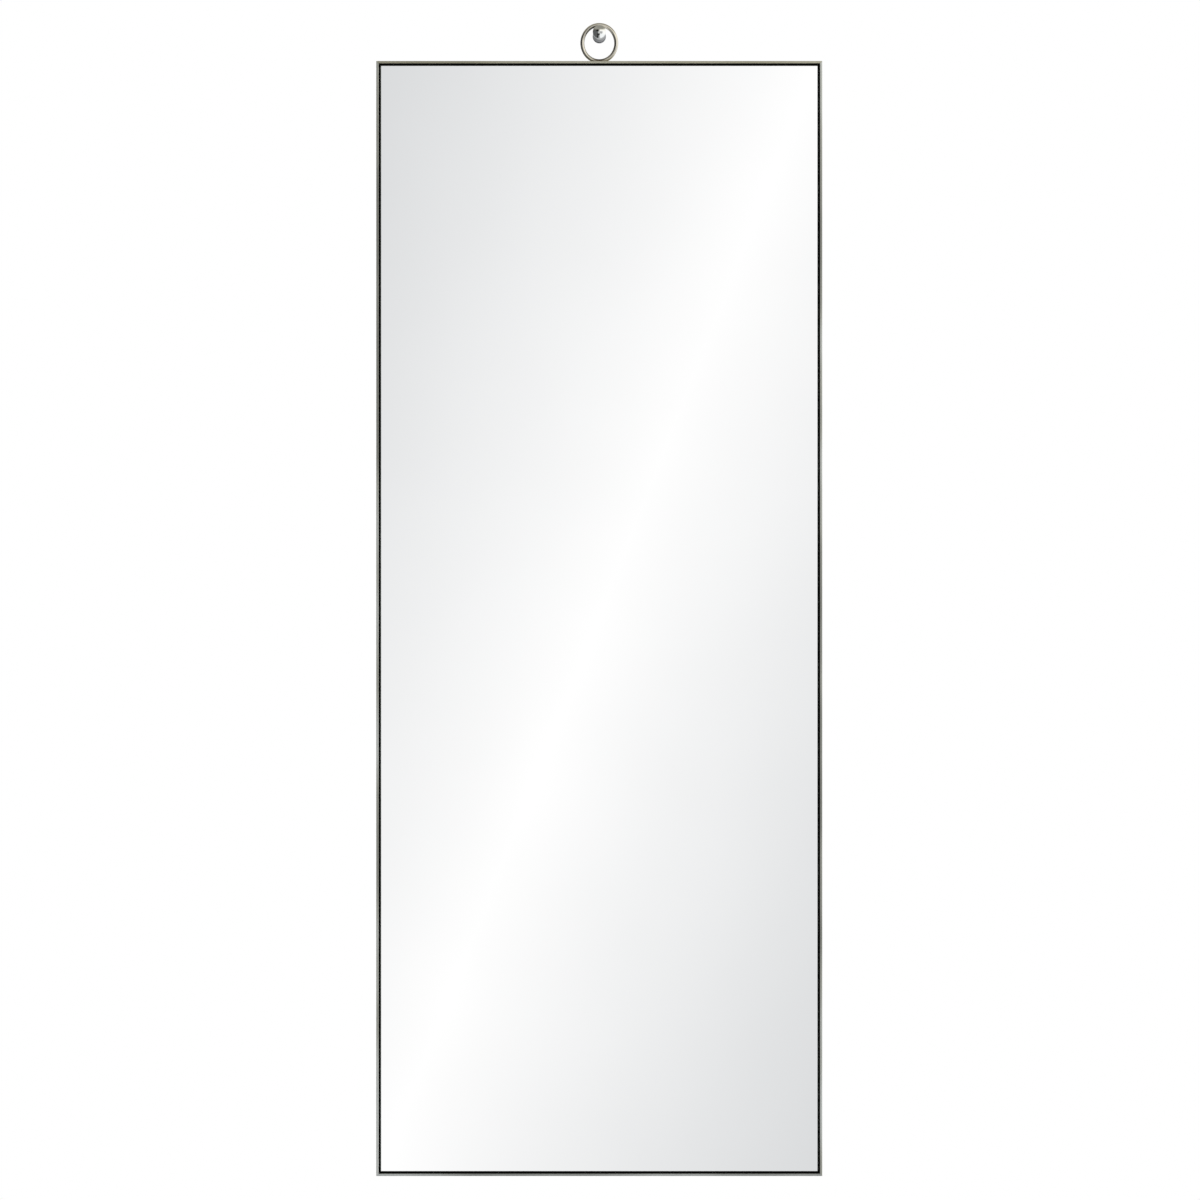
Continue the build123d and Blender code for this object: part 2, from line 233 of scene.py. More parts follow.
def coated_weld():
    """Brown, scaly weld metal."""
    material, tree, shader = new_material("coated weld metal", metallic=1.0)
    scale = noise(tree, place(tree), WELD_SCALE_SIZE, 4.0)
    colour = ramp(tree, scale, [(0.3, "4A4035"), (0.6, "6E6455"), (0.75, "857B6A")])
    surface(tree, shader, colour, step(tree, scale, 0.3, 0.7, 0.32, 0.5), height=scale, depth=0.08 * MM)
    return material


weld_metal = coated_weld()
dress(weld_metal, "ring_weld")

# %% [markdown]
# The peg is turned brass under polished nickel. Polished metal has almost no colour of its own and shows the
# room instead, so its roughness is low. The lathe leaves rings that polishing never quite takes out: a wave
# over the distance from the peg's axis and over its length gives them, so shallow that only reflections tell.
# Shade is painted down the neck: the colour darkens towards its root, where it meets the rosette, and the
# rosette is painted dark all over.

# %% Polished nickel on turned brass
TURNING_PITCH = 0.6 * MM
SMEAR_SIZE = 4 * MM
ROOT_SHADE_FADE = 24 * MM
rosette_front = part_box("peg_rosette")[0].y


def polished_nickel():
    """Polished plate over faint turning rings about the Y axis, with shade painted darker towards and on the
    rosette.
    """
    material, tree, shader = new_material("polished nickel on turned brass", metallic=1.0)
    position = place(tree)
    split = add(tree, "ShaderNodeSeparateXYZ", {0: position}).outputs
    flat = add(tree, "ShaderNodeCombineXYZ", {0: split[0], 2: split[2]}).outputs[0]
    from_axis = add(tree, "ShaderNodeVectorMath", {0: flat}, operation="LENGTH").outputs["Value"]
    along = calc(tree, "ADD", from_axis, split[1])
    rings = calc(tree, "SINE", calc(tree, "MULTIPLY", along, 2 * math.pi / TURNING_PITCH))
    smears = noise(tree, position, SMEAR_SIZE, 3.0)
    polished = ramp(tree, smears, [(0.3, "CFCFCC"), (0.7, "DCDCD9")])
    # Painted shade: the colour turns dark grey down the neck and over the whole rosette.
    painted_root_shade = step(tree, split[1], rosette_front - ROOT_SHADE_FADE, rosette_front)
    colour = mix_colours(tree, painted_root_shade, polished, linear("58585E"))
    surface(tree, shader, colour, step(tree, smears, 0.3, 0.7, 0.05, 0.11), height=rings, depth=0.0015 * MM)
    return material


dress(polished_nickel(), "peg_knob", "peg_rosette")

# %% [markdown]
# The mirror is 4 mm float glass, silvered on its back, so from the front it sends almost all light back and
# blurs none of it. The ray is turned at the silver, and a metal shader with no roughness at the front face
# gives the same picture. The ground arris round the edge is matt and a little green, and is found from the
# distance to the nearest edge, because it is part of the same solid.

# %% Silvered float glass
glass_low, glass_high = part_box("mirror_glass")
glass_middle = (glass_low + glass_high) / 2
glass_half = (glass_high - glass_low) / 2
ARRIS_WIDTH = 0.9 * MM
ARRIS_MATT_WIDTH = ARRIS_WIDTH * 0.9
ARRIS_ROUGHNESS = 0.35
SILVER_PATCH_SIZE = 250 * MM


def silvered_glass():
    """A clear mirror with a matt ground arris."""
    material, tree, shader = new_material("silvered float glass", metallic=1.0)
    position = place(tree)
    split = add(tree, "ShaderNodeSeparateXYZ", {0: position}).outputs
    beside = calc(tree, "SUBTRACT", glass_half.x, calc(tree, "ABSOLUTE", split[0]))
    height = calc(tree, "ABSOLUTE", calc(tree, "SUBTRACT", split[2], glass_middle.z))
    to_edge = calc(tree, "MINIMUM", beside, calc(tree, "SUBTRACT", glass_half.z, height))
    clear = step(tree, to_edge, ARRIS_MATT_WIDTH, ARRIS_WIDTH)
    silver = ramp(tree, noise(tree, position, SILVER_PATCH_SIZE), [(0.3, "FCFCFC"), (0.7, "FEFEFE")])
    colour = mix_colours(tree, clear, linear("C3CAC6"), silver)
    ground = calc(tree, "SUBTRACT", 1.0, clear)
    surface(tree, shader, colour, calc(tree, "MULTIPLY", ground, ARRIS_ROUGHNESS))
    return material


dress(silvered_glass(), "mirror_glass")

# %% [markdown]
# The dark line between glass and bar is closed-cell foam, which soaks light up. Its gloss is set far below
# that of smooth plastic, or the bright studio would turn the line grey.

# %% Black foam gasket
PORE_SIZE = 0.4 * MM


def black_foam():
    """Matt black foam with fine pores."""
    material, tree, shader = new_material("black closed-cell foam", specular_ior_level=0.06)
    pores = noise(tree, place(tree), PORE_SIZE, 3.0)
    colour = ramp(tree, pores, [(0.3, "030303"), (0.7, "070707")])
    surface(tree, shader, colour, step(tree, pores, 0.3, 0.7, 0.8, 0.95), height=pores, depth=0.1 * MM)
    return material


dress(black_foam(), *[f"gasket_{side}" for side in ("top", "bottom", "left", "right")])

# %% [markdown]
# The backing is medium density fibreboard: wood ground to fibres and pressed with glue. Its face is an even
# brown with short pale and dark fibres lying every way, and darker clumps a few millimetres wide. Two noises
# squeezed along crossed axes make the fibres, and a third makes the clumps.

# %% Fibreboard
FIBRE_WIDTH = 0.6 * MM
FIBRE_LENGTH = 6 * MM
CLUMP_SIZE = 12 * MM


def fibreboard():
    """Pressed fibres seen on the board's flat face."""
    material, tree, shader = new_material("medium density fibreboard", specular_ior_level=0.3)
    lying = place(tree, (1 / FIBRE_LENGTH, 1 / FIBRE_WIDTH, 1 / FIBRE_WIDTH))
    standing = place(tree, (1 / FIBRE_WIDTH, 1 / FIBRE_WIDTH, 1 / FIBRE_LENGTH))
    fibres = calc(tree, "MAXIMUM", noise(tree, lying, 1.0, 3.0), noise(tree, standing, 1.0, 3.0))
    clumps = noise(tree, place(tree), CLUMP_SIZE, 4.0)
    body = ramp(tree, fibres, [(0.42, "84684B"), (0.56, "A58864"), (0.7, "C2A681")])
    shade = ramp(tree, clumps, [(0.3, 0.8), (0.65, 1.0)])
    colour = mix_colours(tree, 1.0, body, shade, "MULTIPLY")
    surface(tree, shader, colour, step(tree, fibres, 0.4, 0.7, 0.72, 0.88), height=fibres, depth=0.12 * MM)
    return material


dress(fibreboard(), "backing_board")

# %% [markdown]
# Foam tape is white closed-cell foam, soft and matt. Only a thin edge of it could ever be seen.

# %% Foam tape
CELL_SIZE = 0.8 * MM


def foam_tape():
    """White foam with small cells."""
    material, tree, shader = new_material("white foam tape", specular_ior_level=0.25)
    walls = add(tree, "ShaderNodeTexVoronoi", {"Vector": place(tree), "Scale": 1 / CELL_SIZE})
    cells = walls.outputs["Distance"]
    colour = ramp(tree, cells, [(0.1, "D2D2CE"), (0.6, "E8E8E5")])
    surface(tree, shader, colour, step(tree, cells, 0.1, 0.6, 0.8, 0.92), height=cells, depth=0.1 * MM)
    return material


dress(foam_tape(), "mounting_tape")

# %% [markdown]
# Gussets and tabs are cut from hot-rolled plate and plated with the frame, but nobody brushes them. The mill
# skin under the plate leaves soft mottling and small pits, and a duller shine than the bars have.

# %% Satin plate over mill skin
PIT_SIZE = 1.5 * MM
MOTTLE_SIZE = 18 * MM


def satin_plate():
    """Unbrushed plating on hot-rolled steel."""
    material, tree, shader = new_material("satin nickel plate over mill skin", metallic=1.0)
    pits = noise(tree, place(tree), PIT_SIZE, 4.0)
    mottle = noise(tree, place(tree), MOTTLE_SIZE, 3.0)
    tone = ramp(tree, mottle, [(0.3, "A6A296"), (0.5, "B7B3A7"), (0.7, "C6C2B7")])
    colour = mix_colours(tree, 1.0, tone, ramp(tree, pits, [(0.3, 0.85), (0.6, 1.0)]), "MULTIPLY")
    surface(tree, shader, colour, step(tree, pits, 0.3, 0.7, 0.34, 0.5), height=pits, depth=0.05 * MM)
    return material


corners = ("upper_left", "upper_right", "lower_left", "lower_right")
dress(satin_plate(), "backing_tabs", *[f"gusset_{corner}" for corner in corners])

# %% [markdown]
# Screws and the hanger bolt are zinc plated. The clear chromate over the zinc is thin enough to show faint
# blue and yellow, so the colour wanders between the two as the noise does.

# %% Bright zinc plate
FILM_PATCH_SIZE = 2.5 * MM


def zinc_plate():
    """Zinc with a clear blue chromate."""
    material, tree, shader = new_material("bright zinc plate", metallic=1.0)
    film = noise(tree, place(tree), FILM_PATCH_SIZE, 3.0)
    colour = ramp(tree, film, [(0.3, "A9B2BC"), (0.5, "BFC3C4"), (0.7, "CBC7B6")])
    surface(tree, shader, colour, step(tree, film, 0.3, 0.7, 0.2, 0.34), height=film, depth=0.01 * MM)
    return material


zinc = zinc_plate()
dress(zinc, "hanger_bolt")

# %% [markdown]
# The bumpers are moulded rubber. It is black, but less deep than the foam, and carries a bloom, a grey haze
# that the rubber sweats out in patches, over the fine grain of the mould.

# %% Moulded rubber
GRAIN_SIZE = 0.5 * MM
BLOOM_SIZE = 9 * MM


def moulded_rubber():
    """Black rubber with grain and bloom."""
    material, tree, shader = new_material("moulded black rubber", specular_ior_level=0.35)
    grain = noise(tree, place(tree), GRAIN_SIZE, 2.0)
    bloom = noise(tree, place(tree), BLOOM_SIZE, 3.0)
    colour = ramp(tree, bloom, [(0.35, "151515"), (0.6, "222221"), (0.75, "31302E")])
    surface(tree, shader, colour, step(tree, bloom, 0.35, 0.75, 0.5, 0.75), height=grain, depth=0.06 * MM)
    return material


dress(moulded_rubber(), *[f"bumper_{corner}" for corner in corners])

# %% [markdown]
# The plug is moulded nylon, grey and a little see-through at its thin edges, which a touch of subsurface
# light would show. At this size a soft gloss and a faint mottle say the same.

# %% Moulded nylon
FLOW_SIZE = 5 * MM


def moulded_nylon():
    """Grey nylon, waxy and smooth."""
    material, tree, shader = new_material("moulded grey nylon", specular_ior_level=0.5)
    flow = noise(tree, place(tree), FLOW_SIZE, 3.0)
    colour = ramp(tree, flow, [(0.3, "878A8D"), (0.7, "9A9DA0")])
    surface(tree, shader, colour, step(tree, flow, 0.3, 0.7, 0.34, 0.46), height=flow, depth=0.02 * MM)
    return material


nylon = moulded_nylon()
dress(nylon, "wall_plug")

# %% [markdown]
# Screws repeat, so one of each length is made and Geometry Nodes set a copy on each point. The points come
# from the solids they stand for: a CAD mesh is loose triangles, so a copy of it is merged, and each group of
# joined faces is one screw, whose box says where it is. The walk below starts at one corner and takes in
# every corner an edge leads to, so its list grows while the loop runs.

# %% Find the solids in a node
MERGE_DISTANCE = 0.001 * MM


def solids_in(name):
    """The lowest and highest corner of each separate solid of a CAD node."""
    shape = bmesh.new()
    shape.from_mesh(nodes[name].data)
    bmesh.ops.remove_doubles(shape, verts=shape.verts, dist=MERGE_DISTANCE)
    waiting = set(shape.verts)
    boxes = []
    while waiting:
        found = [waiting.pop()]
        for vertex in found:
            beyond = {edge.other_vert(vertex) for edge in vertex.link_edges} & waiting
            waiting -= beyond
            found.extend(beyond)
        spans = list(zip(*(vertex.co for vertex in found)))
        boxes.append((Vector([min(s) for s in spans]), Vector([max(s) for s in spans])))
    shape.free()
    return sorted(boxes, key=lambda box: (round(box[0].z, 4), round(box[0].x, 4)))


def new_piece(name, verts, edges, faces):
    """An object at the origin from points, edges and faces."""
    mesh = bpy.data.meshes.new(name)
    mesh.from_pydata(verts, edges, faces)
    mesh.validate()
    piece = bpy.data.objects.new(name, mesh)
    scene.collection.objects.link(piece)
    return piece


screw_boxes = {name: solids_in(name) for name in ("board_screws", "bumper_screws")}
print({name: len(boxes) for name, boxes in screw_boxes.items()}, "screws found")

# %% [markdown]
# A screw is a turned thing, so its body is one profile spun round its axis: a pan head with a rounded
# shoulder, a shank with thread ridges and a point. A real thread climbs, but ridges in plain rings look the
# same from a step away and close more cleanly. The profile starts and ends on the axis, where each end is
# one point with a fan of triangles.

# %% Spin a profile
TURNED_SIDES = 32


def face_outwards(piece):
    """Turns the faces of a closed piece so that they all point outwards."""
    shape = bmesh.new()
    shape.from_mesh(piece.data)
    bmesh.ops.recalc_face_normals(shape, faces=shape.faces)
    shape.to_mesh(piece.data)
    shape.free()


def turned(name, profile):
    """Spins (radius, y) points round the Y axis. Ends on the axis are closed."""
    verts, rows = [], []
    for radius, y in profile:
        if radius == 0:
            rows.append([len(verts)] * TURNED_SIDES)
            verts.append((0.0, y, 0.0))
            continue
        rows.append(range(len(verts), len(verts) + TURNED_SIDES))
        for i in range(TURNED_SIDES):
            turn = 2 * math.pi * i / TURNED_SIDES
            verts.append((radius * math.cos(turn), y, radius * math.sin(turn)))
    faces = []
    for first, second in zip(rows, rows[1:]):
        for i in range(TURNED_SIDES):
            j = (i + 1) % TURNED_SIDES
            corners_of_face = [first[i], first[j], second[j], second[i]]
            faces.append(list(dict.fromkeys(corners_of_face)))
    piece = new_piece(name, verts, [], faces)
    face_outwards(piece)
    return piece


def plain_copy(obj, name):
    """The object with its modifiers worked in, as a new plain mesh. The object itself is deleted."""
    graph = bpy.context.evaluated_depsgraph_get()
    mesh = bpy.data.meshes.new_from_object(obj.evaluated_get(graph))
    obj.modifiers.clear()
    bpy.data.objects.remove(obj)
    mesh.name = name
    piece = bpy.data.objects.new(name, mesh)
    scene.collection.objects.link(piece)
    return piece


# %% [markdown]
# The head's outline is given in shares of its radius and height. The driver's recess is a cross that narrows
# as it goes down. It is cut with a boolean: a plus-shaped prism with a wide top and a narrow foot is taken
# out of the head. The head's back is the plane Y = 0 here, so a copy only has to be moved to where its own
# head sits on its plate.

# %% One screw with a cross recess
HEAD_RADIUS = 4.0 * MM
HEAD_HEIGHT = 2.4 * MM
HEAD_OUTLINE = ((0, 1), (0.55, 1), (0.8, 0.88), (0.95, 0.68), (1, 0.4), (1, 0))
SHANK_RADIUS = 2.0 * MM
ROOT_RADIUS = 1.5 * MM
THREAD_PITCH = 1.4 * MM
THREAD_GROOVE = 0.4 * THREAD_PITCH
POINT_LENGTH = 2.0 * MM
RECESS_REACH = 2.3 * MM
RECESS_HALF_WIDTH = 0.55 * MM
RECESS_DEPTH = 1.5 * MM
RECESS_TAPER = 0.55
BIT_CLEARANCE = 0.3 * MM


def cross_bit(top_y, foot_y):
    """A plus-shaped prism along Y, smaller at its foot."""
    verts = []
    for y, size in ((top_y, 1.0), (foot_y, RECESS_TAPER)):
        long, short = RECESS_REACH * size, RECESS_HALF_WIDTH * size
        for quarter in range(4):
            turn = math.pi / 2 * quarter
            across, along = math.cos(turn), math.sin(turn)
            for x, z in ((long, -short), (long, short), (short, short)):
                verts.append((x * across - z * along, y, x * along + z * across))
    faces = [list(range(12)), list(range(23, 11, -1))]
    faces += [[i, i + 12, (i + 1) % 12 + 12, (i + 1) % 12] for i in range(12)]
    bit = new_piece("cross_bit", verts, [], faces)
    face_outwards(bit)
    return bit


def one_screw(reach):
    """A screw whose head sits on the plane Y = 0 and whose point lies at Y = -reach."""
    profile = [(radius * HEAD_RADIUS, height * HEAD_HEIGHT) for radius, height in HEAD_OUTLINE]
    profile += [(SHANK_RADIUS, 0)]
    ridges = int((reach - POINT_LENGTH) / THREAD_PITCH)
    for ridge in range(ridges):
        start = -(reach - POINT_LENGTH) + (ridges - ridge) * THREAD_PITCH
        profile += [(SHANK_RADIUS, start), (ROOT_RADIUS, start - THREAD_GROOVE)]
    profile += [(SHANK_RADIUS, POINT_LENGTH - reach), (0, -reach)]
    screw = turned("one_screw", profile)
    bit = cross_bit(HEAD_HEIGHT + BIT_CLEARANCE, HEAD_HEIGHT - RECESS_DEPTH)
    cut = screw.modifiers.new("recess", "BOOLEAN")
    cut.operation = "DIFFERENCE"
    cut.solver = "EXACT"
    cut.object = bit
    screw = plain_copy(screw, "one_screw")
    bpy.data.objects.remove(bit)
    return screw


# %% [markdown]
# One Geometry Nodes tree sets a copy of a piece on every point. Its inputs are the piece to copy, how far
# each copy may be turned about its axis, the seed of those turns and the finish. Each screw stops at its own
# angle when it is driven, and the seeded turn gives that. The tree ends by making the copies real and
# giving them their material, because an export knows nothing of instances.

# %% Tree: copies on points


def tree_inputs(tree, sockets):
    """Adds named inputs and the usual geometry input and output to a Geometry Nodes tree."""
    tree.interface.new_socket("Geometry", in_out="INPUT", socket_type="NodeSocketGeometry")
    for name, kind in sockets:
        tree.interface.new_socket(name, in_out="INPUT", socket_type=kind)
    tree.interface.new_socket("Geometry", in_out="OUTPUT", socket_type="NodeSocketGeometry")


def copies_tree():
    """Points in, turned copies of one object out."""
    tree = bpy.data.node_groups.new("copies on points", "GeometryNodeTree")
    tree_inputs(
        tree,
        [
            ("Piece", "NodeSocketObject"),
            ("Most turn", "NodeSocketFloat"),
            ("Seed", "NodeSocketInt"),
            ("Finish", "NodeSocketMaterial"),
        ],
    )
    given = add(tree, "NodeGroupInput").outputs
    piece = add(tree, "GeometryNodeObjectInfo", {"Object": given["Piece"]})
    turn = add(tree, "FunctionNodeRandomValue", {2: 0.0, 3: given["Most turn"], "Seed": given["Seed"]})
    spin = add(tree, "ShaderNodeCombineXYZ", {1: turn.outputs[1]})
    inputs = {"Points": given["Geometry"], "Instance": piece.outputs["Geometry"], "Rotation": spin.outputs[0]}
    copies = add(tree, "GeometryNodeInstanceOnPoints", inputs)
    real = add(tree, "GeometryNodeRealizeInstances", {"Geometry": copies.outputs[0]})
    done = add(tree, "GeometryNodeSetMaterial", {"Geometry": real.outputs[0], "Material": given["Finish"]})
    add(tree, "NodeGroupOutput", {"Geometry": done.outputs[0]})
    return tree


def run_tree(carrier, tree, values, name):
    """Runs a tree on the carrier with its inputs set by identifier, and keeps the result as a plain mesh."""
    modifier = carrier.modifiers.new(tree.name, "NODES")
    modifier.node_group = tree
    for item in tree.interface.items_tree:
        if item.in_out == "INPUT" and item.name in values:
            modifier[item.identifier] = values[item.name]
    return plain_copy(carrier, name)


copies = copies_tree()


def screws(node, seed):
    """Stands screws with driven cross recesses in for the plain ones of a node."""
    boxes = screw_boxes[node]
    reach = boxes[0][1].y - boxes[0][0].y - HEAD_HEIGHT
    places = [((low.x + high.x) / 2, high.y - HEAD_HEIGHT, (low.z + high.z) / 2) for low, high in boxes]
    pattern = one_screw(reach)
    carrier = new_piece(node + "_places", places, [], [])
    values = {"Piece": pattern, "Most turn": math.pi / 2, "Seed": seed, "Finish": zinc}
    piece = run_tree(carrier, copies, values, node + "_cross_recess")
    bpy.data.objects.remove(pattern)
    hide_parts(node)
    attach(piece, "mirror")
    print(piece.name, len(places), "copies", len(piece.data.polygons), "faces")


screws("board_screws", 3)
screws("bumper_screws", 8)

# %% [markdown]
# The plug grips the wall with saw-tooth ribs round the part that isn't slit. They are moulded on and stand
# nearly half a millimetre proud, so each is a thin closed ring laid over the plug's wall, steep towards the
# room and sloping towards the hole's end. The same tree copies one ring along the plug.

# %% Ribs on the wall plug
PLUG_RADIUS = 4.0 * MM
RIB_HEIGHT = 0.45 * MM
RIB_LENGTH = 2.2 * MM
RIB_PITCH = 3.2 * MM
RIB_START = 3.0 * MM
RIB_COUNT = 6
RIB_SINK = 0.2 * MM
RIB_TAIL_HEIGHT = 0.02 * MM
inner = PLUG_RADIUS - RIB_SINK
crest, tail = PLUG_RADIUS + RIB_HEIGHT, PLUG_RADIUS + RIB_TAIL_HEIGHT
one_rib = turned("one_rib", [(inner, 0), (crest, 0), (tail, RIB_LENGTH), (inner, RIB_LENGTH), (inner, 0)])
rib_places = [(0, RIB_START + i * RIB_PITCH, 0) for i in range(RIB_COUNT)]
rib_values = {"Piece": one_rib, "Most turn": 0.0, "Seed": 0, "Finish": nylon}
ribs = run_tree(new_piece("rib_places", rib_places, [], []), copies, rib_values, "wall_plug_ribs")
bpy.data.objects.remove(one_rib)
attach(ribs, "wall_peg")
print(ribs.name, RIB_COUNT, "ribs to", round(max(v.co.y for v in ribs.data.vertices) / MM, 1), "mm deep")

# %% [markdown]
# Gussets, tabs and the ring are welded on. A weld made by hand is a row of small overlapping scales, so its
# shape follows a rule: resample a line at the pitch of the scales, set a flattened ball on each point turned
# along the line, and let size wander a little. Each weld here is one edge of a mesh.

# %% Tree: weld beads
SCALE_PITCH = 1.1 * MM
BALL_SUBDIVISIONS = 2
SMALLEST_SCALE, LARGEST_SCALE = 0.86, 1.12
SCALE_FLATNESS = 0.75


def weld_tree():
    """Edges in, rows of overlapping scales out."""
    tree = bpy.data.node_groups.new("weld beads", "GeometryNodeTree")
    sockets = [("Pitch", "NodeSocketFloat"), ("Half width", "NodeSocketFloat"), ("Seed", "NodeSocketInt")]
    tree_inputs(tree, sockets + [("Finish", "NodeSocketMaterial")])
    given = add(tree, "NodeGroupInput").outputs
    line = add(tree, "GeometryNodeMeshToCurve", {"Mesh": given["Geometry"]})
    spacing = {"Curve": line.outputs[0], "Length": given["Pitch"]}
    row = add(tree, "GeometryNodeResampleCurve", spacing, mode="LENGTH")
    ball_sizes = {"Radius": given["Half width"], "Subdivisions": BALL_SUBDIVISIONS}
    ball = add(tree, "GeometryNodeMeshIcoSphere", ball_sizes)
    tangent = add(tree, "GeometryNodeInputTangent").outputs[0]
    along = add(tree, "FunctionNodeAlignRotationToVector", {"Vector": tangent}, axis="X")
    wander = {2: SMALLEST_SCALE, 3: LARGEST_SCALE, "Seed": given["Seed"]}
    size = add(tree, "FunctionNodeRandomValue", wander).outputs[1]
    squash = add(tree, "ShaderNodeCombineXYZ", {0: SCALE_FLATNESS, 1: 1.0, 2: 1.0}).outputs[0]
    scale = add(tree, "ShaderNodeVectorMath", {0: squash, "Scale": size}, operation="SCALE").outputs[0]
    inputs = {"Points": row.outputs[0], "Instance": ball.outputs["Mesh"]}
    inputs |= {"Rotation": along.outputs[0], "Scale": scale}
    scales = add(tree, "GeometryNodeInstanceOnPoints", inputs)
    real = add(tree, "GeometryNodeRealizeInstances", {"Geometry": scales.outputs[0]})
    soft = add(tree, "GeometryNodeSetShadeSmooth", {"Geometry": real.outputs[0]})
    done = add(tree, "GeometryNodeSetMaterial", {"Geometry": soft.outputs[0], "Material": given["Finish"]})
    add(tree, "NodeGroupOutput", {"Geometry": done.outputs[0]})
    return tree


beads = weld_tree()


def weld(name, lines, half_width, seed):
    """Weld beads along a list of straight lines, each a pair of points."""
    points = [point for line in lines for point in line]
    edges = [(2 * i, 2 * i + 1) for i in range(len(lines))]
    values = {"Pitch": SCALE_PITCH, "Half width": half_width, "Seed": seed, "Finish": weld_metal}
    piece = run_tree(new_piece(name + "_lines", points, edges, []), beads, values, name)
    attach(piece, "mirror")
    print(name, len(lines), "beads", len(piece.data.polygons), "faces")


# %% [markdown]
# Where the beads go is worked out from the plates. A gusset gets two short beads on each leg, and a tab one
# on the side that touches its bar, all on the face towards the wall and sunk by about a third of their half
# width, so that a low ridge shows. The tabs on the top and bottom bars are the ones near the middle line.

# %% Beads on gussets and tabs
BEAD_HALF_WIDTH = 1.5 * MM
GUSSET_BEADS = ((0.2, 0.45), (0.65, 0.92))
TAB_BEAD_SHARE = 0.6
SINK = 0.35 * BEAD_HALF_WIDTH

plate_lines = []
for corner in corners:
    low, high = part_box("gusset_" + corner)
    top, left = corner.startswith("upper"), corner.endswith("left")
    x_out, x_in = (low.x, high.x) if left else (high.x, low.x)
    z_out, z_in = (high.z, low.z) if top else (low.z, high.z)
    y = high.y - SINK
    for start, end in GUSSET_BEADS:
        xs = [x_out + (x_in - x_out) * share for share in (start, end)]
        plate_lines.append(tuple((x, y, z_out) for x in xs))
        zs = [z_out + (z_in - z_out) * share for share in (start, end)]
        plate_lines.append(tuple((x_out, y, z) for z in zs))
frame_low, frame_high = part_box("frame_left_bar")
frame_middle_z = (frame_low.z + frame_high.z) / 2
for low, high in solids_in("backing_tabs"):
    middle, y = (low + high) / 2, high.y - SINK
    near_middle_line = abs(middle.x) < high.x - low.x
    if near_middle_line:
        reach = (high.x - low.x) * TAB_BEAD_SHARE / 2
        z = high.z if middle.z > frame_middle_z else low.z
        plate_lines.append(((middle.x - reach, y, z), (middle.x + reach, y, z)))
    else:
        reach = (high.z - low.z) * TAB_BEAD_SHARE / 2
        x = high.x if middle.x > 0 else low.x
        plate_lines.append(((x, y, middle.z - reach), (x, y, middle.z + reach)))
weld("plate_welds", plate_lines, BEAD_HALF_WIDTH, 5)

# %% [markdown]
# The solids already hold the bead that the ring stands in. Two finer rows of scales, one before and one
# behind the ring's foot, make it look like what a torch leaves.

# %% Scales on the ring's weld
RING_BEAD_HALF_WIDTH = 1.0 * MM
RING_BEAD_INSET = 1.2 * MM
RING_BEAD_END = 1.5 * MM
RING_BEAD_RISE = 0.35 * MM
weld_low, weld_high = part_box("ring_weld")
ring_lines = []
for y in (weld_low.y + RING_BEAD_INSET, weld_high.y - RING_BEAD_INSET):
    z = weld_low.z + RING_BEAD_RISE
    ring_lines.append(((weld_low.x + RING_BEAD_END, y, z), (weld_high.x - RING_BEAD_END, y, z)))
weld("ring_weld_scales", ring_lines, RING_BEAD_HALF_WIDTH, 9)

# %% [markdown]
# The camera looks straight at the wall from a little above the middle of the frame and a hair to the right,
# far enough back for the small amount by which the ring's foot hides behind the top bar. That fixes its
# distance, and the lens follows from how much of the picture the frame fills.

# %% Camera
CAMERA_DISTANCE = 3.46
CAMERA_RISE = 0.0253
CAMERA_ASIDE = 0.00096
LENS = 75.95
SENSOR_WIDTH = 36.0
lens_data = bpy.data.cameras.new("camera")
lens_data.lens = LENS
lens_data.sensor_width = SENSOR_WIDTH
camera = bpy.data.objects.new("camera", lens_data)
camera.location = (CAMERA_ASIDE, frame_low.y - CAMERA_DISTANCE, frame_middle_z + CAMERA_RISE)
camera.rotation_euler = (math.pi / 2, 0, 0)
scene.collection.objects.link(camera)
scene.camera = camera
print("camera at", [round(v, 4) for v in camera.location])

# %% [markdown]
# A mirror looks like whatever stands before it, so the studio is part of the finish. Only reflected rays see
# it. Each part of the room is a soft step in the direction of the ray, and an edge in the cells below is the
# pair of values between which a step runs: 0 is square to the axis it names, and 1 is straight along it.
# Cycles would also sample the world as a lamp, with rays that don't count as reflected and would wash the
# metal out, so that sampling is turned off.

# %% World and its directions
WHITE = (1, 1, 1, 1)

world = bpy.data.worlds.new("studio")
scene.world = world
world.use_nodes = True
world.cycles.sampling_method = "NONE"
sky = world.node_tree
sky.nodes.clear()
toward = add(sky, "ShaderNodeTexCoord").outputs["Generated"]
direction = add(sky, "ShaderNodeSeparateXYZ", {0: toward}).outputs
right, rear, up = (direction[i] for i in range(3))
left, front, down = (calc(sky, "MULTIPLY", axis, -1.0) for axis in (right, rear, up))
print("world", world.name)


def between(factor, a, b):
    """Number a where the factor is 0, b where it is 1."""
    return add(sky, "ShaderNodeMix", {"Factor": factor, 2: a, 3: b}, data_type="FLOAT").outputs[0]


def both(a, b):
    """A mask where two masks meet."""
    return calc(sky, "MULTIPLY", a, b)


# %% [markdown]
# Straight ahead is a broad white sheet, brightest along a diagonal and paler grey to both sides of it, which
# draws the soft band on the glass. Dividing a direction by how far it points ahead lays it on a flat sheet,
# so the band has straight sides. The power turns the tone that the eye should see into light.

# %% White sheet with a bright band
BAND_SLOPE = 0.3926
BAND_OFFSET = 0.0022
BAND_FALL = 0.8235
PALEST = 0.8
DISPLAY_POWER = 2.24
LEAST_AHEAD = 0.15
SHEET_LEVEL = 1.02

